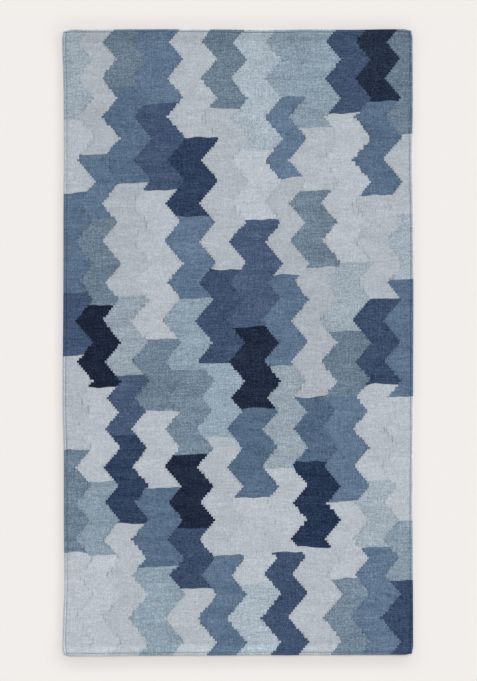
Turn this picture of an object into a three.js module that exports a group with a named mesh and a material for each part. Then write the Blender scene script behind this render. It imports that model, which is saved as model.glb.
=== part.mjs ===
// Flatweave cotton rug, lying flat: one woven cloth with a narrow hem turned under at each end
// and a corded selvedge down each long side.
// Millimetres. +X across the rug, +Y along it, +Z up, origin on the floor under its middle.
import * as THREE from "three";

// The cloth
const rugWidth = 1000;
const rugLength = 1792;
const clothThickness = 3.2;
const lengthStep = 90;
const widthStep = 75;

// The hems: the cloth turns under, stitches hold it, and in front of the turned-in edge
// the cloth comes down to the floor in a soft slope
const hemDepth = 10;
const stitchInset = 7.7;
const stitchDip = 0.8;
const stitchReach = 1.6;
const layerGap = 0.4;
const slopeLength = 18;
const slopeSteps = 4;
const foldDivisions = 3;

// The selvedges: height of the underside over the floor, and share of the cloth's thickness
const selvedge = [
  { inset: 0, underside: 1.1, share: 0.42 },
  { inset: 0.9, underside: 0.4, share: 0.95 },
  { inset: 2.4, underside: 0, share: 1.24 },
  { inset: 4.2, underside: 0, share: 1.16 },
  { inset: 6.2, underside: 0, share: 0.8 },
  { inset: 8.2, underside: 0, share: 1 },
];

// The outline's unevenness: how far an edge strays outwards, at places along or across the rug
const leftEdge = [
  { at: -851, out: 1.6 },
  { at: -680, out: -3.1 },
  { at: -500, out: -1.8 },
  { at: -335, out: -1.8 },
  { at: -165, out: 1.9 },
  { at: 180, out: -0.4 },
  { at: 350, out: -0.7 },
  { at: 520, out: -2.1 },
  { at: 695, out: -1.6 },
  { at: 865, out: 2.1 },
];
const rightEdge = [
  { at: -851, out: 1.3 },
  { at: -510, out: -0.2 },
  { at: -165, out: 1.3 },
  { at: 180, out: 2.1 },
  { at: 350, out: 1.3 },
  { at: 520, out: -1.6 },
  { at: 695, out: 0.1 },
  { at: 865, out: -0.7 },
];
const farEdge = [
  { at: -460, out: 0.7 },
  { at: -140, out: 1.3 },
  { at: 90, out: -0.7 },
  { at: 210, out: 0.7 },
  { at: 320, out: -0.2 },
  { at: 435, out: 1.3 },
];
const nearEdge = [
  { at: -460, out: 1.3 },
  { at: -140, out: -0.7 },
  { at: 90, out: -1.8 },
  { at: 435, out: -2.7 },
];

// The corners are drawn in by the turned hems
const cornerReach = 26;
const cornerPull = 3.5;

// The cloth is a little thicker and thinner from place to place
const swellShare = 0.1;
const swellAcross = 330;
const swellAlong = 270;

const halfWidth = rugWidth / 2;
const halfLength = rugLength / 2;
const liftedHeight = clothThickness + layerGap;
const foldRadius = clothThickness + layerGap / 2;
const foldStart = halfLength - foldRadius;
const hemEdge = halfLength - hemDepth;
const slopeStart = hemEdge - slopeLength;
const stitchLine = halfLength - stitchInset;

function ease(from, to, value) {
  return THREE.MathUtils.smoothstep(value, from, to);
}

// How far the cloth has climbed onto the turned-in layer
function lift(along) {
  return liftedHeight * ease(slopeStart, hemEdge, along);
}

// Places from the rug's middle to the turned-in edge, close together on the slope
function placesToHem() {
  const middleSteps = Math.round(slopeStart / lengthStep);
  const places = [];
  for (let i = 0; i <= middleSteps; i += 1) {
    places.push((slopeStart * i) / middleSteps);
  }
  for (let i = 1; i <= slopeSteps; i += 1) {
    places.push(slopeStart + (slopeLength * i) / slopeSteps);
  }
  return places;
}

// Outline of one half of the rug's section in length and height: out along the underside,
// back round the turned-in layer, over the fold and home along the top
function halfSection() {
  const places = placesToHem();
  const outline = new THREE.Path();
  outline.moveTo(0, 0);
  for (const place of places.slice(1)) {
    outline.lineTo(place, lift(place));
  }
  outline.lineTo(foldStart, liftedHeight);
  outline.lineTo(foldStart, clothThickness);
  outline.lineTo(hemEdge, clothThickness);
  outline.lineTo(hemEdge, 0);
  outline.absarc(foldStart, foldRadius, foldRadius, -Math.PI / 2, Math.PI / 2, false);
  for (const step of [1, 0, -1]) {
    const dip = step === 0 ? stitchDip : 0;
    outline.lineTo(stitchLine + step * stitchReach, liftedHeight + clothThickness - dip);
  }
  for (const place of places.toReversed()) {
    outline.lineTo(place, clothThickness + lift(place));
  }
  return outline.getPoints(foldDivisions);
}

// Both halves as one closed outline
function rugSection() {
  const half = halfSection();
  const otherHalf = half.slice(1, -1).toReversed();
  const mirrored = otherHalf.map((point) => new THREE.Vector2(-point.x, point.y));
  return new THREE.Shape([...half, ...mirrored]);
}

// Places across the rug, with the cloth's form at each, from the left selvedge to the right
function stationsAcross() {
  const inner = halfWidth - selvedge.at(-1).inset;
  const middleSteps = Math.round((2 * inner) / widthStep);
  const left = selvedge.map((step) => ({ ...step, across: step.inset - halfWidth }));
  const right = selvedge.map((step) => ({ ...step, across: halfWidth - step.inset })).toReversed();
  const middle = [];
  for (let i = 1; i < middleSteps; i += 1) {
    middle.push({ across: -inner + (2 * inner * i) / middleSteps, underside: 0, share: 1 });
  }
  return [...left, ...middle, ...right];
}

// How far an edge strays at a place, eased from one row of its table to the next
function stray(edge, at) {
  const next = edge.findIndex((row) => row.at > at);
  if (next <= 0) {
    return next === 0 ? edge[0].out : edge.at(-1).out;
  }
  const [from, to] = [edge[next - 1], edge[next]];
  return THREE.MathUtils.lerp(from.out, to.out, ease(from.at, to.at, at));
}

// A point of the even cloth, moved to where it lies on the real, slightly uneven one
function placeOnRug(station, along, height) {
  const { across, underside, share } = station;
  const sideways = across / halfWidth;
  const lengthways = along / halfLength;
  const atSide = ease(halfWidth - cornerReach, halfWidth, Math.abs(across));
  const atEnd = ease(halfLength - cornerReach, halfLength, Math.abs(along));
  const pull = cornerPull * atSide * atEnd;
  const wave = Math.sin((2 * Math.PI * across) / swellAcross);
  const swell = 1 + swellShare * wave * Math.cos((2 * Math.PI * along) / swellAlong);
  return new THREE.Vector3(
    across + sideways * stray(across > 0 ? rightEdge : leftEdge, along) - Math.sign(across) * pull,
    along + lengthways * stray(along > 0 ? farEdge : nearEdge, across) - Math.sign(along) * pull,
    underside + height * share * swell,
  );
}

// The section drawn out across the rug, then shaped point by point
function rugGeometry() {
  const stations = stationsAcross();
  const steps = stations.length - 1;
  const cloth = new THREE.ExtrudeGeometry(rugSection(), { depth: steps, steps, bevelEnabled: false });
  const { position } = cloth.attributes;
  for (let i = 0; i < position.count; i += 1) {
    const station = stations[Math.round(position.getZ(i))];
    const placed = placeOnRug(station, position.getX(i), position.getY(i));
    position.setXYZ(i, placed.x, placed.y, placed.z);
  }
  cloth.computeBoundingBox();
  const middle = cloth.boundingBox.getCenter(new THREE.Vector3());
  cloth.translate(-middle.x, -middle.y, 0);
  cloth.computeVertexNormals();
  return cloth;
}

const blueCotton = new THREE.MeshStandardMaterial({ color: 0x7e8c9b, roughness: 0.95, metalness: 0 });

const rug = new THREE.Mesh(rugGeometry(), blueCotton);
rug.name = "rug";

const part = new THREE.Group();
part.add(rug);

export default part;
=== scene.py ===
"""Cotton flatweave rug, laid flat: zigzag bands of tapestry weave, corded selvedges, turned hems."""

import math
import random
from collections import namedtuple
from functools import lru_cache

import bmesh
import bpy
from mathutils import Matrix, Vector, noise


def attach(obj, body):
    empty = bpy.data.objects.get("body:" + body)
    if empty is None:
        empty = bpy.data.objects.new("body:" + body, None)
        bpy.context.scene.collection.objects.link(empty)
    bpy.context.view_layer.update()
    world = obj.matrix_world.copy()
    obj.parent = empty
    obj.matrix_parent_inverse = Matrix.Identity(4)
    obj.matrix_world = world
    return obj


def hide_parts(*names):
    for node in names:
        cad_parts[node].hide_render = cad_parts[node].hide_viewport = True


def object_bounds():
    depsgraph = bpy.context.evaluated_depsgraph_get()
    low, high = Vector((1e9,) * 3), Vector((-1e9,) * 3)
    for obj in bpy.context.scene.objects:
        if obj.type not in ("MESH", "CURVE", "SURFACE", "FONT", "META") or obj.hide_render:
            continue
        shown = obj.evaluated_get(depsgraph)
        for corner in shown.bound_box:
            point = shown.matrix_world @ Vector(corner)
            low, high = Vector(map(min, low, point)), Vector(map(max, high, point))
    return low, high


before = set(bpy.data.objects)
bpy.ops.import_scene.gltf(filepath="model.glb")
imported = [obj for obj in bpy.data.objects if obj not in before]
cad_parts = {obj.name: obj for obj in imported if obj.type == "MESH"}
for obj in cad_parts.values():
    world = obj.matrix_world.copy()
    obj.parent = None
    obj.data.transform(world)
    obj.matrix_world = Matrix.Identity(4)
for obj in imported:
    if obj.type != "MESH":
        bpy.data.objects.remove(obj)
SOLID_LOW, SOLID_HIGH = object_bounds()
SOLID_SIZE = SOLID_HIGH - SOLID_LOW

bl_info = {
    "name": "Flatweave rug",
    "version": (1, 0, 0),
    "blender": (4, 5, 0),
    "location": "View3D > Sidebar > Rug",
    "description": "Weaves a cotton rug of toothed zigzag bands, with corded selvedges and turned hems",
    "category": "Object",
}

MM = 0.001
RUG_NODE = "rug"
ROOT_BODY = "root"

# The outline's unevenness: how far an edge strays outwards, at places along or across the rug, in mm
Stray = namedtuple("Stray", "at out")
LEFT_EDGE = (
    Stray(-851, 1.6), Stray(-680, -3.1), Stray(-500, -1.8), Stray(-335, -1.8), Stray(-165, 1.9),
    Stray(180, -0.4), Stray(350, -0.7), Stray(520, -2.1), Stray(695, -1.6), Stray(865, 2.1),
)
RIGHT_EDGE = (
    Stray(-851, 1.3), Stray(-510, -0.2), Stray(-165, 1.3), Stray(180, 2.1),
    Stray(350, 1.3), Stray(520, -1.6), Stray(695, 0.1), Stray(865, -0.7),
)
FAR_EDGE = (
    Stray(-460, 0.7), Stray(-140, 1.3), Stray(90, -0.7),
    Stray(210, 0.7), Stray(320, -0.2), Stray(435, 1.3),
)
NEAR_EDGE = (Stray(-460, 1.3), Stray(-140, -0.7), Stray(90, -1.8), Stray(435, -2.7))
SIDE_STRAY = 2.1 * MM
END_STRAY = 1.3 * MM

# The selvedges, from the rim inwards: height of the underside in mm, and share of the thickness
Selvedge = namedtuple("Selvedge", "inset underside share")
SELVEDGE = (
    Selvedge(0, 1.1, 0.42), Selvedge(1, 0.4, 0.8), Selvedge(2.6, 0, 1.1), Selvedge(4.2, 0, 1.26),
    Selvedge(5.8, 0, 1.1), Selvedge(7.7, 0, 0.66), Selvedge(9.8, 0, 1),
)

# The weaver's plan: each band's width in warps, and its blocks of yarn from the far end to the
# near one, with the rows of teeth that each runs
Band = namedtuple("Band", "warps blocks")
BANDS = (
    Band(20, "pale 38, silver 30, denim 42, indigo 26, silver 39, slate 43, silver 43"),
    Band(28, "silver 52, denim 27, slate 36, midnight 34, silver 39, haze 31, silver 42"),
    Band(29, "slate 24, denim 40, silver 47, pale 33, indigo 25, navy 37, silver 55"),
    Band(33, "denim 31, indigo 36, silver 62, slate 30, silver 32, denim 33, haze 37"),
    Band(33, "silver 45, navy 33, denim 34, haze 30, slate 35, midnight 31, indigo 25, silver 28"),
    Band(31, "slate 33, silver 67, indigo 39, haze 31, silver 49, denim 42"),
    Band(33, "pale 50, silver 29, indigo 45, midnight 34, denim 37, silver 36, pale 30"),
    Band(30, "haze 28, denim 34, silver 40, denim 38, pale 43, silver 35, indigo 43"),
    Band(31, "haze 41, silver 26, slate 32, silver 54, denim 27, navy 36, silver 45"),
    Band(30, "indigo 35, silver 62, pale 29, slate 27, denim 44, silver 32, slate 32"),
    Band(29, "midnight 30, denim 39, silver 43, indigo 36, silver 40, pale 28, denim 45"),
    Band(23, "slate 44, silver 33, pale 27, denim 49, silver 52, haze 25, indigo 31"),
)

# The zigzag where two bands meet: how far it swings to each side and how much that varies, how
# far a tooth steps aside, all in warps, and how often a line waits for a row where it turns
HALF_SWING = 8.2
SWING_DRIFT = 1.9
TOOTH_WARPS = 2
BLUNT_TURNS = 0.3

# How often a rough stretch begins or ends, and by how many warps its teeth are off
ROUGH_TURNS = 0.12
UNEVEN_TEETH = (-1, 0, 0, 1)

# Most slits are nearly closed: how far one is open is a random share raised to this power
OPENING_POWER = 3

# The end of a block: its least and most slant and the height of its waves in rows of teeth,
# their length in warps, and how near to the cut a point counts as on it
SLANT = (0, 0.8)
WAVE_ROWS = 0.6
WAVE_WARPS = 12
CUT_SNAP = 1e-4

WEAVE_SEED = 23
TEETH_SEED = 4

# How strong the painted shade of the hollows is, as a share: in a slit and beside it, beside the
# selvedge's cord, under the stitches of a hem and on its fold
SLIT_SHADE = 0.75
SHADE_BESIDE_SLIT = 0.4
CORD_SHADE = 0.7
HemShade = namedtuple("HemShade", "stitches fold")
FAR_HEM = HemShade(1, 0.55)
NEAR_HEM = HemShade(0.35, 0.2)

# The mesh of the cloth: columns to a warp, and lines to a row of teeth on the hem's slope and fold
WARP_COLUMNS = 2
SLOPE_LINES = 2
FOLD_LINES = 6

# The flat pattern on which a band's finish is painted: the lengths that each face is cut into,
# the margin beside a length as a share of its width and at its ends in rows, and how far a wall
# reaches out into the margins, in warps and in rows
STRIPS = 3
STRIP_MARGIN = 0.14
END_MARGIN = 0.8
WALL_ACROSS = 0.6
WALL_ALONG = 0.45

# The stitches: how far it is from one to the next, the length and thickness of one, how far it
# may turn out of the row, and how high it lies in the cloth, where 1 is the cloth's top
STITCH_PITCH = 4 * MM
STITCH_LENGTH = 3.1 * MM
THREAD = 0.8 * MM
STITCH_TILT = 0.06
STITCH_SIDE = 1.12
STITCH_SEED = 5

# Streaks of lighter and darker yarn: how fast each changes from warp to warp and from row to row,
# how far it is moved on from one dye lot to the next, and how much lightness it spans
Streak = namedtuple("Streak", "kind across along lots width")
STREAKS = (
    Streak("abrash", 0.02, 0.3, 57.0, 0.09),
    Streak("weft", 0.09, 2.3, 57.0, 0.17),
    Streak("lengthways", 1.1, 0.1, 0.0, 0.13),
    Streak("slubs", 0.45, 2.6, 0.0, 0.14),
    Streak("ribs", 1.3, 0.6, 0.0, 0.16),
)

# How much lights and darks show in the darkest yarn, and by how much that changes in paler yarn,
# from one tone to another
DARK_CONTRAST = 1.05
ToneChange = namedtuple("ToneChange", "start end by")
TONE_CHANGES = (ToneChange(0.1, 0.25, 0.25), ToneChange(0.42, 0.5, -0.4))

# How softly the low light begins and ends, as a change in the sine of its height
LOW_LIGHT_RISE = 0.05
LOW_LIGHT_FALL = 0.06

SCREEN_GAMMA = 2.2

# A slanting direction that puts the parts of a mesh in order: hardly two lie equally far along it
SKEW = Vector((1, math.e, math.pi))


def linear(red, green, blue):
    """A colour on a 0 to 255 screen scale as linear light, by the usual screen curve."""
    return tuple(((c / 255 + 0.055) / 1.055) ** 2.4 for c in (red, green, blue))


def mix(a, b, share):
    return a + (b - a) * share


def ease(start, end, value):
    """0 up to start, 1 from end, and smooth in between."""
    t = min(max((value - start) / (end - start), 0), 1)
    return t * t * (3 - 2 * t)


def stray(edge, at):
    """How far an edge strays outwards at a place, eased from one row of its table to the next."""
    place = at / MM
    for a, b in zip(edge, edge[1:]):
        if place < b.at:
            return mix(a.out, b.out, ease(a.at, b.at, place)) * MM
    return edge[-1].out * MM


def rank(part):
    """A number that gives an edge or a face its place in the order of its mesh."""
    return sum(vert.co.dot(SKEW) for vert in part.verts)


def finished(name, bm):
    """The object of a bmesh that is done with, linked to the scene. Its parts are put in order by
    their places, because some operators leave them in one that differs from run to run."""
    bm.verts.sort(key=lambda vert: vert.co.dot(SKEW))
    bm.edges.sort(key=rank)
    bm.faces.sort(key=rank)
    mesh = bpy.data.meshes.new(name)
    bm.to_mesh(mesh)
    bm.free()
    made = bpy.data.objects.new(name, mesh)
    bpy.context.scene.collection.objects.link(made)
    return made


class RugSizes(bpy.types.PropertyGroup):
    """Sizes of the rug."""

    width: bpy.props.FloatProperty(
        name="Width", description="From selvedge to selvedge",
        default=SOLID_SIZE.x - 2 * SIDE_STRAY, unit="LENGTH",
    )
    length: bpy.props.FloatProperty(
        name="Length", description="From fold to fold",
        default=SOLID_SIZE.y - 2 * END_STRAY, unit="LENGTH",
    )
    thickness: bpy.props.FloatProperty(
        name="Thickness", description="Thickness of the single cloth",
        default=3.2 * MM, unit="LENGTH",
    )
    teeth: bpy.props.IntProperty(
        name="Teeth", description="Rows of teeth from fold to fold", default=261, min=60,
    )
    picks: bpy.props.IntProperty(
        name="Picks", description="Turns of the weft in one row of teeth", default=4, min=1,
    )
    rib_depth: bpy.props.FloatProperty(
        name="Rib depth", description="Depth of the valley between two warps",
        default=0.28 * MM, unit="LENGTH",
    )
    slit_depth: bpy.props.FloatProperty(
        name="Slit depth", description="How much deeper the cloth dips at a wide slit",
        default=0.9 * MM, unit="LENGTH",
    )
    slit_gap: bpy.props.FloatProperty(
        name="Slit gap", description="Open gap between two bands where it is widest",
        default=0.3 * MM, unit="LENGTH",
    )
    hem_depth: bpy.props.FloatProperty(
        name="Hem depth", description="From the fold to the turned-in edge",
        default=10 * MM, unit="LENGTH",
    )
    stitch_inset: bpy.props.FloatProperty(
        name="Stitch inset", description="From the fold to the row of stitches",
        default=8.4 * MM, unit="LENGTH",
    )


class YarnColours(bpy.types.PropertyGroup):
    """Colours of the cotton yarns and of the sewing thread."""

    midnight: bpy.props.FloatVectorProperty(
        name="Midnight", description="Nearly black blue", subtype="COLOR",
        default=linear(19, 33, 56),
    )
    navy: bpy.props.FloatVectorProperty(
        name="Navy", description="Dark blue", subtype="COLOR", default=linear(34, 52, 80),
    )
    indigo: bpy.props.FloatVectorProperty(
        name="Indigo", description="Deep blue", subtype="COLOR", default=linear(64, 82, 110),
    )
    denim: bpy.props.FloatVectorProperty(
        name="Denim", description="Middle blue", subtype="COLOR", default=linear(89, 111, 135),
    )
    slate: bpy.props.FloatVectorProperty(
        name="Slate", description="Grey blue", subtype="COLOR", default=linear(114, 132, 149),
    )
    haze: bpy.props.FloatVectorProperty(
        name="Haze", description="Light grey blue", subtype="COLOR",
        default=linear(145, 162, 176),
    )
    pale: bpy.props.FloatVectorProperty(
        name="Pale", description="Pale blue", subtype="COLOR", default=linear(162, 175, 186),
    )
    silver: bpy.props.FloatVectorProperty(
        name="Silver", description="Pale grey", subtype="COLOR", default=linear(183, 190, 198),
    )
    thread: bpy.props.FloatVectorProperty(
        name="Thread", description="Sewing thread of the hems", subtype="COLOR",
        default=linear(94, 107, 122),
    )


class StudioSettings(bpy.types.PropertyGroup):
    """The floor, the light and the camera."""

    floor: bpy.props.FloatVectorProperty(
        name="Floor", description="Colour of the floor", subtype="COLOR",
        default=(0.88, 0.848, 0.824),
    )
    floor_size: bpy.props.FloatProperty(
        name="Floor size", description="Side of the square floor", default=60, unit="LENGTH",
    )
    backdrop: bpy.props.FloatVectorProperty(
        name="Backdrop", description="Colour seen beyond the floor", subtype="COLOR",
        default=linear(242, 238, 235),
    )
    daylight: bpy.props.FloatProperty(
        name="Daylight", description="Strength of the even light from all round", default=0.385,
    )
    low_light: bpy.props.FloatProperty(
        name="Low light", description="Strength of the light that comes in low all round",
        default=16,
    )
    low_light_from: bpy.props.FloatProperty(
        name="Low light from", description="Height at which the low light begins, as a sine",
        default=0.07,
    )
    low_light_to: bpy.props.FloatProperty(
        name="Low light to", description="Height at which the low light ends, as a sine",
        default=0.2,
    )
    low_light_lean: bpy.props.FloatVectorProperty(
        name="Low light lean", description="How much stronger it is from the right and the far end",
        size=3, default=(0.4, 0.35, 0), subtype="XYZ",
    )
    lamp: bpy.props.FloatProperty(
        name="Lamp", description="Strength of the soft light from the far right", default=1.25,
    )
    lamp_height: bpy.props.FloatProperty(
        name="Lamp height", description="Height of the soft light over the floor, as an angle",
        default=math.radians(50), subtype="ANGLE",
    )
    lamp_bearing: bpy.props.FloatProperty(
        name="Lamp bearing", description="How far the soft light comes from the right",
        default=math.radians(40), subtype="ANGLE",
    )
    lamp_softness: bpy.props.FloatProperty(
        name="Lamp softness", description="Angle that the soft light fills",
        default=math.radians(25), subtype="ANGLE",
    )
    view_length: bpy.props.FloatProperty(
        name="View length", description="Length of floor that the picture shows",
        default=1.9485, unit="LENGTH",
    )
    view_offset: bpy.props.FloatVectorProperty(
        name="View offset", description="Middle of the picture, from the rug's middle",
        size=2, default=(1.3 * MM, 6.3 * MM), subtype="XYZ", unit="LENGTH",
    )
    lens: bpy.props.FloatProperty(
        name="Lens", description="Focal length of the camera", default=100, subtype="DISTANCE_CAMERA",
    )


class Cloth:
    """Where each point of the weave lies. Its place in the weave is warps across, rows of teeth
    along, both from the near left corner between the folds, and side, 0 under and 1 on top."""

    # The hem: the gap between its layers, the slope before it, and the dip under its stitches
    layer_gap = 0.4 * MM
    slope_length = 24 * MM
    stitch_dip = 0.8 * MM
    stitch_reach = 2 * MM

    # Where the painted shade of the groove beside the selvedge's cord lies, and the corners, which the
    # hems draw in
    groove_inset = 7.8 * MM
    groove_reach = 2 * MM
    corner_reach = 26 * MM
    corner_pull = 3.5 * MM

    # Slow changes of thickness, and how far warps and wefts stray from straight lines
    swell_share = 0.1
    swell_across = 330 * MM
    swell_along = 270 * MM
    warp_wander = 1.1 * MM
    weft_wander = 1.6 * MM
    wander_reach = 40 * MM
    wander_size = 90 * MM
    wander_shift = Vector((7.3, 2.9, 5.1))

    def __init__(self, sizes):
        self.sizes = sizes
        self.warps = sum(band.warps for band in BANDS)
        self.pitch = sizes.width / self.warps
        self.tooth = sizes.length / sizes.teeth
        self.half_width = sizes.width / 2
        self.half_length = sizes.length / 2
        self.lifted = sizes.thickness + self.layer_gap
        self.fold_radius = self.lifted / 2
        self.fold_start = self.half_length - self.fold_radius - sizes.thickness / 2
        self.fold_length = math.pi * self.fold_radius
        self.hem_edge = self.half_length - sizes.hem_depth
        self.slope_start = self.hem_edge - self.slope_length
        self.stitch_line = self.half_length - sizes.stitch_inset
        self.half_cloth = self.turned_in(self.hem_edge)

    def turned_in(self, place):
        """Metres of cloth from the rug's middle, over the fold and back to a place under the hem."""
        return self.fold_start + self.fold_length + self.fold_start - place

    def row_at(self, end, run):
        """The row of teeth at metres of cloth from the rug's middle, towards an end."""
        return self.sizes.teeth / 2 + end * run / self.tooth

    def middle_layer(self, run):
        """Place, height and turn of the cloth's middle layer, at metres of cloth from the rug's
        middle: along the floor, up the hem's slope, round the fold and back underneath."""
        half_thickness = self.sizes.thickness / 2
        beyond = run - self.fold_start
        if beyond > self.fold_length:
            return self.fold_start - (beyond - self.fold_length), half_thickness, math.pi
        if beyond > 0:
            turn = beyond / self.fold_radius
            place = self.fold_start + self.fold_radius * math.sin(turn)
            return place, half_thickness + self.fold_radius * (1 + math.cos(turn)), turn
        rise = self.lifted * ease(self.slope_start, self.hem_edge, run)
        ahead = self.lifted * ease(self.slope_start, self.hem_edge, run + MM)
        return run, half_thickness + rise, -math.atan2(ahead - rise, MM)

    def half_thickness(self, across, place, slit):
        """Half the cloth's thickness: less between warps, at slits and under the stitches."""
        between = abs(2 * (across % 1) - 1)
        valley = self.sizes.rib_depth * between + self.sizes.slit_depth * slit
        from_stitches = abs(place - self.stitch_line)
        dip = self.stitch_dip * (1 - ease(0, self.stitch_reach, from_stitches))
        return self.sizes.thickness / 2 - valley - dip

    def hollow(self, across, along, slit):
        """The painted shade, from 0 to 1, down in a slit, under the stitches, beside the selvedge's
        cord and on the fold."""
        run = abs(along - self.sizes.teeth / 2) * self.tooth
        place, _, turn = self.middle_layer(run)
        under_stitches = 1 - ease(0, self.stitch_reach, abs(place - self.stitch_line))
        inset = min(across, self.warps - across) * self.pitch
        beside_cord = 1 - ease(0, self.groove_reach, abs(inset - self.groove_inset))
        on_fold = max(math.sin(turn), 0)
        hem = FAR_HEM if along > self.sizes.teeth / 2 else NEAR_HEM
        at_hem = max(hem.stitches * under_stitches, hem.fold * on_fold)
        return max(at_hem, CORD_SHADE * beside_cord, SLIT_SHADE * math.sqrt(slit))

    def selvedge(self, across):
        """Height of the underside and share of the thickness at a place across the rug."""
        inset = min(across, self.warps - across) * self.pitch / MM
        for outer, inner in zip(SELVEDGE, SELVEDGE[1:]):
            if inset < inner.inset:
                share = (inset - outer.inset) / (inner.inset - outer.inset)
                underside = mix(outer.underside, inner.underside, share) * MM
                return underside, mix(outer.share, inner.share, share)
        return 0, 1

    def wander(self, x, y):
        """How far a warp and a weft stray from straight lines: not at all at the rug's edges."""
        inside = ease(0, self.wander_reach, self.half_width - abs(x))
        inside *= ease(0, self.wander_reach, self.half_length - abs(y))
        at = Vector((x, y, 0)) / self.wander_size
        sideways = noise.noise(at) * self.warp_wander * inside
        return sideways, noise.noise(at + self.wander_shift) * self.weft_wander * inside

    def place(self, across, along, side, slit=0):
        """The point in the rug's frame, in metres."""
        run = (along - self.sizes.teeth / 2) * self.tooth
        place, height, turn = self.middle_layer(abs(run))
        offset = (2 * side - 1) * self.half_thickness(across, place, abs(slit))
        x = (across - self.warps / 2) * self.pitch + slit * self.sizes.slit_gap / 2
        y = math.copysign(place + math.sin(turn) * offset, run)
        z = height + math.cos(turn) * offset
        underside, share = self.selvedge(across)
        wave = math.sin(math.tau * x / self.swell_across)
        swell = 1 + self.swell_share * wave * math.cos(math.tau * y / self.swell_along)
        at_side = ease(self.half_width - self.corner_reach, self.half_width, abs(x))
        at_end = ease(self.half_length - self.corner_reach, self.half_length, abs(y))
        pull = self.corner_pull * at_side * at_end
        side_edge = RIGHT_EDGE if x > 0 else LEFT_EDGE
        end_edge = FAR_EDGE if y > 0 else NEAR_EDGE
        sideways, lengthways = self.wander(x, y)
        sideways += x / self.half_width * stray(side_edge, y) - math.copysign(pull, x)
        lengthways += y / self.half_length * stray(end_edge, x) - math.copysign(pull, y)
        return Vector((x + sideways, y + lengthways, underside + z * share * swell))

    def lines_along(self):
        """The rows at which the mesh has a line across, close together on the slope and fold."""
        slope = math.floor(self.row_at(1, self.slope_start))
        lifted = math.floor(self.row_at(1, self.stitch_line - self.stitch_reach))
        last = self.row_at(1, self.half_cloth)
        flat = [float(row) for row in range(self.sizes.teeth - slope, slope + 1)]
        rising = [slope + i / SLOPE_LINES for i in range(1, (lifted - slope) * SLOPE_LINES)]
        steps = math.ceil((last - lifted) * FOLD_LINES)
        folding = [mix(lifted, last, i / steps) for i in range(steps + 1)]
        far = rising + folding
        near = [self.sizes.teeth - row for row in reversed(far)]
        return near + flat + far


class SlitLine:
    """The line where two bands meet, or a selvedge. For each row of teeth it has a step aside,
    and how far open the slit is."""

    def __init__(self, steps, chance):
        self.steps = steps
        self.openings = [chance.random() ** OPENING_POWER for _ in steps]

    def row(self, along):
        return min(max(math.floor(along), 0), len(self.steps) - 1)

    def step(self, along):
        return self.steps[self.row(along)]

    def opening(self, along):
        return self.openings[self.row(along)]

    def smooth(self, along):
        """The line through the middles of the steps."""
        before = along - 0.5
        return mix(self.step(before), self.step(before + 1), before - math.floor(before))


def zigzag(teeth, chance):
    """Offsets of the weave's zigzag, which moves aside by a tooth at each row."""
    offsets = [0]
    side = 1
    while len(offsets) < teeth:
        turn = side * (HALF_SWING + chance.uniform(-SWING_DRIFT, SWING_DRIFT))
        for _ in range(max(1, round(abs(turn - offsets[-1]) / TOOTH_WARPS))):
            offsets.append(offsets[-1] + side * TOOTH_WARPS)
        side = -side
    return offsets


def uneven(steps, chance):
    """The steps with rough stretches, where a tooth here and there is a warp longer or shorter."""
    rough = False
    changed = []
    for step in steps:
        if chance.random() < ROUGH_TURNS:
            rough = not rough
        changed.append(step + (chance.choice(UNEVEN_TEETH) if rough else 0))
    return changed


def slit_lines(cloth, chance):
    """Both selvedges, and the line between each two bands: all of them follow one zigzag, and at
    some of its turns a line waits for a row, so that it runs on a tooth aside."""
    teeth = cloth.sizes.teeth
    offsets = zigzag(teeth, chance)
    loose = random.Random(TEETH_SEED)
    lines = [SlitLine([0] * teeth, chance)]
    middle = 0
    for band in BANDS[:-1]:
        middle += band.warps
        start = TOOTH_WARPS * round(middle / TOOTH_WARPS)
        aside = 0
        steps = [start]
        for row in range(1, teeth):
            step = offsets[row] - offsets[row - 1]
            turned = row > 1 and offsets[row] == offsets[row - 2]
            if turned and abs(aside - step) <= TOOTH_WARPS and chance.random() < BLUNT_TURNS:
                aside -= step
            steps.append(start + aside + offsets[row])
        lines.append(SlitLine(uneven(steps, loose), chance))
    lines.append(SlitLine([cloth.warps] * teeth, chance))
    return lines


class BlockEnd:
    """The slightly slanted and wavy line at which one yarn follows another in a band."""

    def __init__(self, row, left, right, rise):
        self.row = row
        self.middle = (left + right) / 2
        self.slope = rise / (right - left)

    def wave(self, across):
        """How far the line strays from a straight one, in rows, each end in its own way."""
        return WAVE_ROWS * noise.noise(Vector((across / WAVE_WARPS, self.row / 2, self.middle / 2)))

    def passes_below(self, point):
        return point.y > self.row + self.slope * (point.x - self.middle) + self.wave(point.x)

    def cut(self, bm):
        """Cuts along the line: the weave is shifted for it until the line is straight."""
        rows = {vert: vert.co.y for vert in bm.verts}
        for vert in bm.verts:
            vert.co.y -= self.wave(vert.co.x)
        bmesh.ops.bisect_plane(
            bm, geom=bm.verts[:] + bm.edges[:] + bm.faces[:], dist=CUT_SNAP,
            plane_co=(self.middle, self.row, 0), plane_no=(-self.slope, 1, 0),
        )
        for vert in bm.verts:
            vert.co.y = rows[vert] if vert in rows else vert.co.y + self.wave(vert.co.x)


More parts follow.
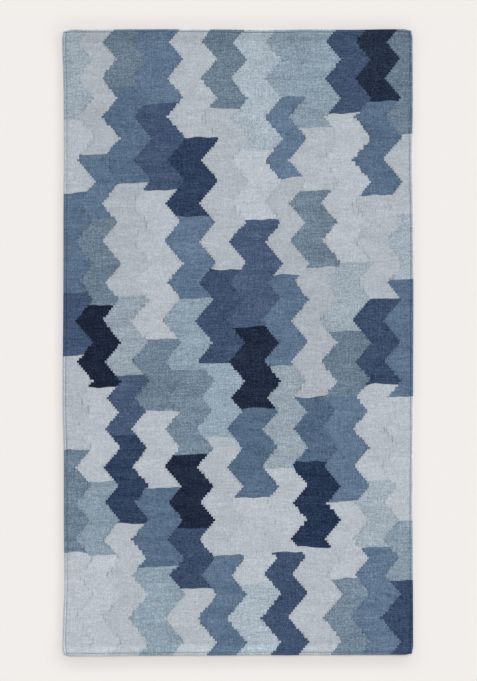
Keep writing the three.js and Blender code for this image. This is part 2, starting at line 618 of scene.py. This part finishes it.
class WovenBand:
    """One band of the rug, made flat in warps and rows of teeth, then laid on the rug."""

    def __init__(self, cloth, index, left, right, yarns, chance):
        self.cloth = cloth
        self.left = left
        self.right = right
        self.at_left_selvedge = index == 0
        self.at_right_selvedge = index == len(BANDS) - 1
        self.blocks = []
        row = cloth.sizes.teeth
        for words in BANDS[index].blocks.split(", "):
            yarn, teeth = words.split()
            row -= int(teeth)
            end = BlockEnd(row, left.smooth(row), right.smooth(row), chance.uniform(*SLANT))
            colour = (*getattr(yarns, yarn), chance.random())
            self.blocks.append((colour, end))
        self.bm = bmesh.new()

    def make(self, name):
        """The finished piece."""
        self.spread_grid()
        self.cut_teeth()
        for _, end in self.blocks[:-1]:
            end.cut(self.bm)
        flat, area = self.flat_size()
        self.dye()
        self.thicken()
        self.unroll()
        self.lay()
        band = finished(name, self.bm)
        return band

    def spread_grid(self):
        """A grid over all that the band's zigzag takes in."""
        lines = self.cloth.lines_along()
        low, high = min(self.left.steps), max(self.right.steps)
        columns = WARP_COLUMNS * (high - low)
        bmesh.ops.create_grid(self.bm, x_segments=columns, y_segments=len(lines) - 1, size=1)
        for v in self.bm.verts:
            v.co.x = low + round((v.co.x + 1) / 2 * columns) / WARP_COLUMNS
            v.co.y = lines[round((v.co.y + 1) / 2 * (len(lines) - 1))]

    def cut_teeth(self):
        """Takes away what lies outside the stepped edges."""
        outside = []
        for face in self.bm.faces:
            middle = face.calc_center_median()
            if not self.left.step(middle.y) < middle.x < self.right.step(middle.y):
                outside.append(face)
        bmesh.ops.delete(self.bm, geom=outside, context="FACES")

    def flat_size(self):
        """Width and length of the flat band with its hems turned out, and its area, in metres."""
        cloth = self.cloth
        places = [vert.co.x for vert in self.bm.verts]
        area = sum(face.calc_area() for face in self.bm.faces) * cloth.pitch * cloth.tooth
        return ((max(places) - min(places)) * cloth.pitch, 2 * cloth.half_cloth), area

    def dye(self):
        """Gives each block its yarn's colour, with the dye lot in the fourth place."""
        yarn = self.bm.loops.layers.float_color.new("yarn")
        for face in self.bm.faces:
            middle = face.calc_center_median()
            colour = self.blocks[-1][0]
            for block_colour, end in self.blocks:
                if end.passes_below(middle):
                    colour = block_colour
                    break
            for loop in face.loops:
                loop[yarn] = colour

    def thicken(self):
        """Gives the band its top and its sides, with its underside at 0 and its top at 1."""
        bm = self.bm
        made = bmesh.ops.extrude_face_region(bm, geom=bm.faces[:], use_keep_orig=True)["geom"]
        top = [part for part in made if isinstance(part, bmesh.types.BMVert)]
        bmesh.ops.translate(bm, verts=top, vec=(0, 0, 1))
        bmesh.ops.recalc_face_normals(bm, faces=bm.faces[:])

    def walls(self):
        """The faces down the band's edges."""
        return [face for face in self.bm.faces if abs(face.normal.z) < 0.5]

    def ways_out(self, walls):
        """For each point on the underside's rim, the way out of the band: -1, 0 or 1 across and
        along."""
        ways = {}
        for face in walls:
            for vert in face.verts:
                if vert.co.z < 0.5:
                    ways[vert] = ways.get(vert, Vector((0, 0, 0))) + face.normal
        return {vert: Vector((sign(way.x), sign(way.y))) for vert, way in ways.items()}

    def unroll(self):
        """Lays both faces out in lengths next to each other, with the walls round the top's."""
        layer = self.bm.loops.layers.uv.new("OFBake")
        cloth = self.cloth
        first = cloth.row_at(-1, cloth.half_cloth)
        start = math.floor(first)
        strip_rows = math.ceil((cloth.sizes.teeth - 2 * first) / STRIPS)
        walls = set(self.walls())
        outward = self.ways_out(walls)

        @lru_cache(maxsize=None)
        def edges(along):
            return self.left.smooth(along), self.right.smooth(along)

        for face in self.bm.faces:
            middle = face.calc_center_median()
            strip = (math.floor(middle.y) - start) // strip_rows
            is_wall = face in walls
            column = strip + (STRIPS if not is_wall and middle.z < 0.5 else 0)
            strip_start = start + strip * strip_rows
            for loop in face.loops:
                across, along, side = loop.vert.co
                if is_wall and side < 0.5:
                    away = outward[loop.vert]
                    across += away.x * WALL_ACROSS
                    along += away.y * WALL_ALONG
                left, right = edges(loop.vert.co.y)
                share = mix(STRIP_MARGIN, 1 - STRIP_MARGIN, (across - left) / (right - left))
                u = (column + share) / (2 * STRIPS)
                v = (along - strip_start + END_MARGIN) / (strip_rows + 2 * END_MARGIN)
                loop[layer].uv = (u, v)

    def open_slits(self):
        """Makes the rims of the walls sharp, but not a selvedge's, which stays round. Gives back how
        far each point beside a slit is drawn away from it: to the right or, under 0, to the left.
        Where two openings meet at a point, the wider one counts."""
        slit = {}
        for face in self.walls():
            lengthways = abs(face.normal.x) > 0.5
            on_left = face.normal.x < 0
            at_selvedge = self.at_left_selvedge if on_left else self.at_right_selvedge
            for edge in face.edges:
                flat = abs(edge.verts[0].co.z - edge.verts[1].co.z) < 0.5
                edge.smooth = not flat or (lengthways and at_selvedge)
            if lengthways and not at_selvedge:
                line = self.left if on_left else self.right
                opening = line.opening(face.calc_center_median().y)
                for vert in face.verts:
                    widest = max(opening, abs(slit.get(vert, 0)))
                    slit[vert] = widest if on_left else -widest
        return slit

    def lay(self):
        """Moves the flat band to where it lies on the rug, and keeps its place in the weave."""
        bm = self.bm
        weave = bm.verts.layers.float_vector.new("weave")
        hollow = bm.verts.layers.float.new("hollow")
        slit = self.open_slits()
        for face in bm.faces:
            face.smooth = True
        # Painted shade of the hollows: in and beside the slits, in the cord's groove, under the
        # stitches and on the folds
        for vert in bm.verts:
            near = [SHADE_BESIDE_SLIT * abs(slit.get(edge.other_vert(vert), 0)) for edge in vert.link_edges]
            depth = max(abs(slit.get(vert, 0)), *near)
            vert[hollow] = self.cloth.hollow(vert.co.x, vert.co.y, depth)
        for vert in bm.verts:
            vert[weave] = vert.co
            vert.co = self.cloth.place(*vert.co, slit.get(vert, 0))


def sign(value):
    """-1, 0 or 1, with 0 for what is nearer to it."""
    return (value > 0.5) - (value < -0.5)


class Nodes:
    """Makes and joins nodes by short calls. A value given to a call is a number or the output of
    another node."""

    def __init__(self, tree):
        self.tree = tree

    def join(self, socket, value):
        if isinstance(value, bpy.types.NodeSocket):
            self.tree.links.new(value, socket)
        else:
            socket.default_value = value

    def node(self, kind, inputs=(), output=0, **settings):
        made = self.tree.nodes.new(kind)
        for key, value in settings.items():
            setattr(made, key, value)
        pairs = inputs.items() if isinstance(inputs, dict) else enumerate(inputs)
        for key, value in pairs:
            self.join(made.inputs[key], value)
        return made.outputs[output]

    def math(self, operation, *values):
        return self.node("ShaderNodeMath", values, operation=operation)

    def add(self, a, b):
        return self.math("ADD", a, b)

    def times(self, a, b):
        return self.math("MULTIPLY", a, b)

    def attribute(self, name, output="Vector"):
        return self.node("ShaderNodeAttribute", attribute_name=name, output=output)

    def vector(self, x, y, z=0.0):
        return self.node("ShaderNodeCombineXYZ", (x, y, z))

    def parts(self, vector):
        """The three parts of a vector."""
        return self.node("ShaderNodeSeparateXYZ", (vector,)).node.outputs

    def noise(self, vector, scale=1.0, detail=2.0):
        inputs = {"Vector": vector, "Scale": scale, "Detail": detail}
        return self.node("ShaderNodeTexNoise", inputs, output="Fac")

    def rise(self, value, start, end):
        """0 up to start, 1 from end, and smooth in between."""
        return self.node("ShaderNodeMapRange", (value, start, end), interpolation_type="SMOOTHSTEP")

    def speckle(self, vector):
        return self.node("ShaderNodeTexWhiteNoise", {"Vector": vector}, output="Value")

    def spread(self, value, width):
        """A 0 to 1 value as one that varies by width about nothing."""
        return self.times(self.math("SUBTRACT", value, 0.5), width)

    def between(self, value, at_0, at_1):
        """A 0 to 1 value as one between two others."""
        return self.math("MULTIPLY_ADD", value, at_1 - at_0, at_0)

    def round_yarn(self, at):
        """Height of a round yarn, from 0 at both of its sides to 1 on top, at 0 to 1 across it."""
        from_middle = self.math("MULTIPLY_ADD", at, 2.0, -1.0)
        return self.math("SQRT", self.math("SUBTRACT", 1.0, self.times(from_middle, from_middle)))

    def lighten(self, colour, by):
        """Adds an evenly visible step of lightness to light and dark colours alike."""
        seen = self.node("ShaderNodeGamma", (colour, 1 / SCREEN_GAMMA))
        step = self.vector(by, by, by)
        moved = self.node("ShaderNodeVectorMath", (seen, step), operation="ADD")
        kept = self.node("ShaderNodeVectorMath", (moved, (0.0, 0.0, 0.0)), operation="MAXIMUM")
        return self.node("ShaderNodeGamma", (kept, SCREEN_GAMMA))

    def darken(self, colour, share):
        """Multiplies a colour by a share."""
        return self.node("ShaderNodeVectorMath", {0: colour, 3: share}, operation="SCALE")


class Finish(Nodes):
    """A new material and its nodes."""

    def __init__(self, name):
        self.material = bpy.data.materials.new(name)
        self.material.use_nodes = True
        super().__init__(self.material.node_tree)
        self.shader = self.tree.nodes["Principled BSDF"]

    def surface(self, inputs):
        """Sets or joins inputs of the shader, by their names."""
        for name, value in inputs.items():
            self.join(self.shader.inputs[name], value)

    def relief(self, height, depth, strength=1.0):
        """A surface that follows a height from 0 to 1, as deep as given."""
        inputs = {"Height": height, "Distance": depth, "Strength": strength}
        return self.node("ShaderNodeBump", inputs)


class WovenCotton(Finish):
    """Weft-faced cotton tapestry: round picks beaten down over the warps, in dyed yarn with streaks
    along and across, paler and darker beads, painted shade between the yarns, painted light on top
    of them and painted shade in the hollows."""

    # How far a pick strays from its row, in picks, and how fast that changes across the warps
    slack = 0.6
    slack_scale = 0.3

    # The fibres of the yarn, and the cloudy look of the whole rug
    fibre_scale = 1400.0
    fibre_detail = 3.0
    mottle_scale = 9.0

    # How much lightness a dye lot, a bead, the fibres and the cloudy look each span
    lot_width = 0.07
    bead_width = 0.115
    fibre_width = 0.08
    mottle_width = 0.06

    # The share of its colour that yarn keeps, as painted shade where two yarns meet, as painted
    # light on top of one and as painted shade deep in a hollow
    shade_between_yarns = 0.76
    light_on_yarn = 1.06
    shade_in_hollow = 0.2

    # The depth of the yarns' relief, how much it shows, and the share that the fibres add to it
    yarn_depth = 0.45 * MM
    yarn_strength = 0.9
    fibre_relief = 0.18

    # How rough the surface is
    least_rough = 0.84
    most_rough = 0.96

    def __init__(self, picks):
        super().__init__("woven_cotton")
        self.across, self.along, self.side = self.parts(self.attribute("weave"))
        self.dye = self.attribute("yarn", "Color")
        self.lot = self.attribute("yarn", "Alpha")
        place = self.node("ShaderNodeTexCoord", output="Object")
        self.fibre = self.noise(place, self.fibre_scale, self.fibre_detail)
        self.mottle = self.noise(place, self.mottle_scale)
        bead, height = self.beads(picks)
        dyed = self.lighten(self.dye, self.times(self.light(bead), self.contrast()))
        # The dyed colour gets painted shade between the yarns, painted light on top of them and painted
        # shade in the hollows
        shade = self.between(height, self.shade_between_yarns, self.light_on_yarn)
        hollow = self.attribute("hollow", "Fac")
        deep = self.between(self.times(hollow, hollow), 1.0, self.shade_in_hollow)
        fuzzy = self.math("MULTIPLY_ADD", self.fibre, self.fibre_relief, height)
        self.surface({
            "Base Color": self.darken(dyed, self.times(shade, deep)),
            "Roughness": self.between(self.fibre, self.least_rough, self.most_rough),
            "Normal": self.relief(fuzzy, self.yarn_depth, self.yarn_strength),
            "Specular IOR Level": 0.15,
            "Sheen Weight": 0.06,
            "Sheen Roughness": 0.5,
        })

    def beads(self, picks):
        """The bead that a point is on, where one of the picks of a row passes over a warp, and how
        high the point is on it. On every other warp the picks lie half a pick further on."""
        warp = self.math("FLOOR", self.across)
        shift = self.times(self.math("PINGPONG", warp, 1.0), 0.5)
        slack = self.noise(self.vector(self.times(self.across, self.slack_scale), self.along))
        turns = self.math("MULTIPLY_ADD", self.along, float(picks), shift)
        turns = self.add(turns, self.spread(slack, self.slack))
        rib_height = self.round_yarn(self.math("FRACT", self.across))
        pick_height = self.round_yarn(self.math("FRACT", turns))
        bead = self.vector(warp, self.math("FLOOR", turns), self.side)
        return bead, self.math("MINIMUM", rib_height, pick_height)

    def streaks(self, streak):
        """One kind of streak, as a 0 to 1 value."""
        made = self.noise(self.vector(
            self.times(self.across, streak.across),
            self.times(self.along, streak.along),
            self.times(self.lot, streak.lots),
        ))
        made.node.label = streak.kind
        return made

    def light(self, bead):
        """How much lighter than its dye the yarn is."""
        light = self.spread(self.lot, self.lot_width)
        for streak in STREAKS:
            light = self.add(light, self.spread(self.streaks(streak), streak.width))
        light = self.add(light, self.spread(self.speckle(bead), self.bead_width))
        light = self.add(light, self.spread(self.fibre, self.fibre_width))
        return self.add(light, self.spread(self.mottle, self.mottle_width))

    def contrast(self):
        """How much lights and darks show, by the tone of the yarn, which its green light gives."""
        tone = self.node("ShaderNodeSeparateColor", (self.dye,), output="Green")
        contrast = DARK_CONTRAST
        for change in TONE_CHANGES:
            paler = self.rise(tone, change.start, change.end)
            contrast = self.math("MULTIPLY_ADD", paler, change.by, contrast)
        return contrast


class SewingThread(Finish):
    """Twisted cotton sewing thread."""

    # The twist, as slanting waves, and the fuzz on it
    twist_turn = 0.7
    twist_scale = 500.0
    twist_distortion = 1.0
    twist_detail = 1.0
    fuzz_scale = 2500.0

    # How much lightness each of them spans, the depth of the twist's relief, and how rough it is
    twist_width = 0.06
    fuzz_width = 0.1
    twist_depth = 0.1 * MM
    least_rough = 0.7
    most_rough = 0.9

    def __init__(self, colour):
        super().__init__("sewing_thread")
        place = self.node("ShaderNodeTexCoord", output="Object")
        turn = (0.0, 0.0, self.twist_turn)
        waves = {
            "Vector": self.node("ShaderNodeMapping", {"Vector": place, "Rotation": turn}),
            "Scale": self.twist_scale,
            "Distortion": self.twist_distortion,
            "Detail": self.twist_detail,
        }
        twist = self.node("ShaderNodeTexWave", waves, output="Fac")
        fuzz = self.noise(place, self.fuzz_scale)
        light = self.add(self.spread(twist, self.twist_width), self.spread(fuzz, self.fuzz_width))
        self.surface({
            "Base Color": self.lighten((*colour, 1.0), light),
            "Roughness": self.between(fuzz, self.least_rough, self.most_rough),
            "Normal": self.relief(twist, self.twist_depth),
        })


def add_to_rug(piece, material):
    """Gives a finished piece its material and its place in the model."""
    piece.data.materials.append(material)
    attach(piece, ROOT_BODY)
    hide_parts(RUG_NODE)


class RUG_OT_weave_bands(bpy.types.Operator):
    """Weave the twelve zigzag bands of the rug"""

    bl_idname = "rug.weave_bands"
    bl_label = "Weave bands"

    def execute(self, context):
        sizes = context.scene.rug_sizes
        yarns = context.scene.rug_yarns
        cloth = Cloth(sizes)
        chance = random.Random(WEAVE_SEED)
        lines = slit_lines(cloth, chance)
        cotton = WovenCotton(sizes.picks).material
        for i, (left, right) in enumerate(zip(lines, lines[1:])):
            band = WovenBand(cloth, i, left, right, yarns, chance).make(f"weft_band_{i + 1:02d}")
            add_to_rug(band, cotton)
        return {"FINISHED"}


class RUG_OT_sew_hems(bpy.types.Operator):
    """Sew both turned hems with a row of lock stitches, seen on top and underneath"""

    bl_idname = "rug.sew_hems"
    bl_label = "Sew hems"

    def execute(self, context):
        cloth = Cloth(context.scene.rug_sizes)
        thread = SewingThread(context.scene.rug_yarns.thread).material
        chance = random.Random(STITCH_SEED)
        for name, end in (("hem_stitches_far", 1), ("hem_stitches_near", -1)):
            bm = bmesh.new()
            for run in (cloth.stitch_line, cloth.turned_in(cloth.stitch_line)):
                self.sew_row(bm, cloth, cloth.row_at(end, run), chance)
            for face in bm.faces:
                face.smooth = True
            add_to_rug(finished(name, bm), thread)
        return {"FINISHED"}

    def straight_row(self, count):
        """A straight row of stitches: it is doubled until it is long enough, and then cut to its
        length."""
        row = bmesh.new()
        bmesh.ops.create_uvsphere(row, u_segments=6, v_segments=4, radius=1)
        bmesh.ops.rotate(row, verts=row.verts, matrix=Matrix.Rotation(math.pi / 2, 3, "Y"))
        bmesh.ops.scale(row, verts=row.verts, vec=(STITCH_LENGTH / 2, THREAD / 2, THREAD / 2))
        made = 1
        while made < count:
            copy = bmesh.ops.duplicate(row, geom=row.verts[:] + row.edges[:] + row.faces[:])
            verts = [part for part in copy["geom"] if isinstance(part, bmesh.types.BMVert)]
            bmesh.ops.translate(row, verts=verts, vec=(made * STITCH_PITCH, 0, 0))
            made *= 2
        spare = [vert for vert in row.verts if vert.co.x > (count - 0.5) * STITCH_PITCH]
        bmesh.ops.delete(row, geom=spare, context="VERTS")
        return row

    def sew_row(self, bm, cloth, along, chance):
        """Adds a row of stitches across the cloth, in the dip that they pull into it."""
        count = round(cloth.sizes.width / STITCH_PITCH)
        row = self.straight_row(count)
        warps_each = cloth.warps / count
        middles = [cloth.place((i + 0.5) * warps_each, along, STITCH_SIDE) for i in range(count)]
        tilts = [chance.uniform(-STITCH_TILT, STITCH_TILT) for _ in range(count)]
        for vert in row.verts:
            i = round(vert.co.x / STITCH_PITCH)
            local = vert.co - Vector((i * STITCH_PITCH, 0, 0))
            vert.co = middles[i] + Matrix.Rotation(tilts[i], 3, "Z") @ local
        mesh = bpy.data.meshes.new("stitch_row")
        row.to_mesh(mesh)
        row.free()
        bm.from_mesh(mesh)
        bpy.data.meshes.remove(mesh)


class RUG_OT_set_stage(bpy.types.Operator):
    """Lay the floor under the rug, light it softly, and look straight down on it"""

    bl_idname = "rug.set_stage"
    bl_label = "Set stage"

    def execute(self, context):
        studio = context.scene.rug_studio
        self.lay_floor(studio)
        self.light_sky(context, studio)
        self.hang_lamp(context, studio)
        self.look_down(context, studio)
        return {"FINISHED"}

    def lay_floor(self, studio):
        bm = bmesh.new()
        bmesh.ops.create_grid(bm, x_segments=2, y_segments=2, size=studio.floor_size / 2)
        floor = finished("floor", bm)
        finish = Finish("pale_floor")
        colour = (*studio.floor, 1.0)
        finish.surface({"Base Color": colour, "Roughness": 0.9, "Specular IOR Level": 0.1})
        floor.data.materials.append(finish.material)

    def light_sky(self, context, studio):
        """Even daylight with a stronger ring low down, and a plain backdrop behind the floor."""
        world = bpy.data.worlds.new("daylight")
        world.use_nodes = True
        nodes = Nodes(world.node_tree)
        sky = nodes.tree.nodes["Background"]
        towards = nodes.node("ShaderNodeTexCoord", output="Generated")
        height = nodes.parts(towards)["Z"]
        start, end = studio.low_light_from, studio.low_light_to
        above = nodes.rise(height, start, start + LOW_LIGHT_RISE)
        below = nodes.rise(height, end, end - LOW_LIGHT_FALL)
        lean = nodes.node(
            "ShaderNodeVectorMath", (towards, studio.low_light_lean),
            output="Value", operation="DOT_PRODUCT",
        )
        low = nodes.times(nodes.times(above, below), nodes.add(lean, 1.0))
        strength = nodes.math("MULTIPLY_ADD", low, studio.low_light, studio.daylight)
        nodes.join(sky.inputs["Color"], (1.0, 1.0, 1.0, 1.0))
        nodes.join(sky.inputs["Strength"], strength)
        backdrop = nodes.node("ShaderNodeBackground", ((*studio.backdrop, 1.0),))
        seen = nodes.node("ShaderNodeLightPath", output="Is Camera Ray")
        both = nodes.node("ShaderNodeMixShader", (seen, sky.outputs["Background"], backdrop))
        nodes.join(nodes.tree.nodes["World Output"].inputs["Surface"], both)
        context.scene.world = world

    def hang_lamp(self, context, studio):
        lamp = bpy.data.lights.new("lamp", "SUN")
        lamp.energy = studio.lamp
        lamp.angle = studio.lamp_softness
        lamp_object = bpy.data.objects.new("lamp", lamp)
        lamp_object.rotation_euler = (studio.lamp_height - math.pi / 2, 0, -studio.lamp_bearing)
        context.scene.collection.objects.link(lamp_object)

    def look_down(self, context, studio):
        camera = bpy.data.cameras.new("camera")
        camera.lens = studio.lens
        camera.clip_end = studio.floor_size
        looking = bpy.data.objects.new("camera", camera)
        distance = studio.view_length * camera.lens / camera.sensor_width
        thickness = context.scene.rug_sizes.thickness
        looking.location = (*studio.view_offset, distance + thickness)
        context.scene.collection.objects.link(looking)
        context.scene.camera = looking
        context.scene.view_settings.view_transform = "Standard"


class RUG_PT_making(bpy.types.Panel):
    """The rug's sizes, colours and steps"""

    bl_label = "Flatweave rug"
    bl_space_type = "VIEW_3D"
    bl_region_type = "UI"
    bl_category = "Rug"

    def draw(self, context):
        for group in (context.scene.rug_sizes, context.scene.rug_yarns, context.scene.rug_studio):
            box = self.layout.box()
            for name in group.__annotations__:
                box.prop(group, name)
        for step in STEPS:
            self.layout.operator(step.bl_idname)


STEPS = (RUG_OT_weave_bands, RUG_OT_sew_hems, RUG_OT_set_stage)
CLASSES = (RugSizes, YarnColours, StudioSettings, *STEPS, RUG_PT_making)


def register():
    for cls in CLASSES:
        bpy.utils.register_class(cls)
    bpy.types.Scene.rug_sizes = bpy.props.PointerProperty(type=RugSizes)
    bpy.types.Scene.rug_yarns = bpy.props.PointerProperty(type=YarnColours)
    bpy.types.Scene.rug_studio = bpy.props.PointerProperty(type=StudioSettings)


def unregister():
    del bpy.types.Scene.rug_studio
    del bpy.types.Scene.rug_yarns
    del bpy.types.Scene.rug_sizes
    for cls in reversed(CLASSES):
        bpy.utils.unregister_class(cls)


def main():
    register()
    bpy.ops.rug.set_stage()
    bpy.ops.rug.weave_bands()
    bpy.ops.rug.sew_hems()


if __name__ == "__main__":
    main()
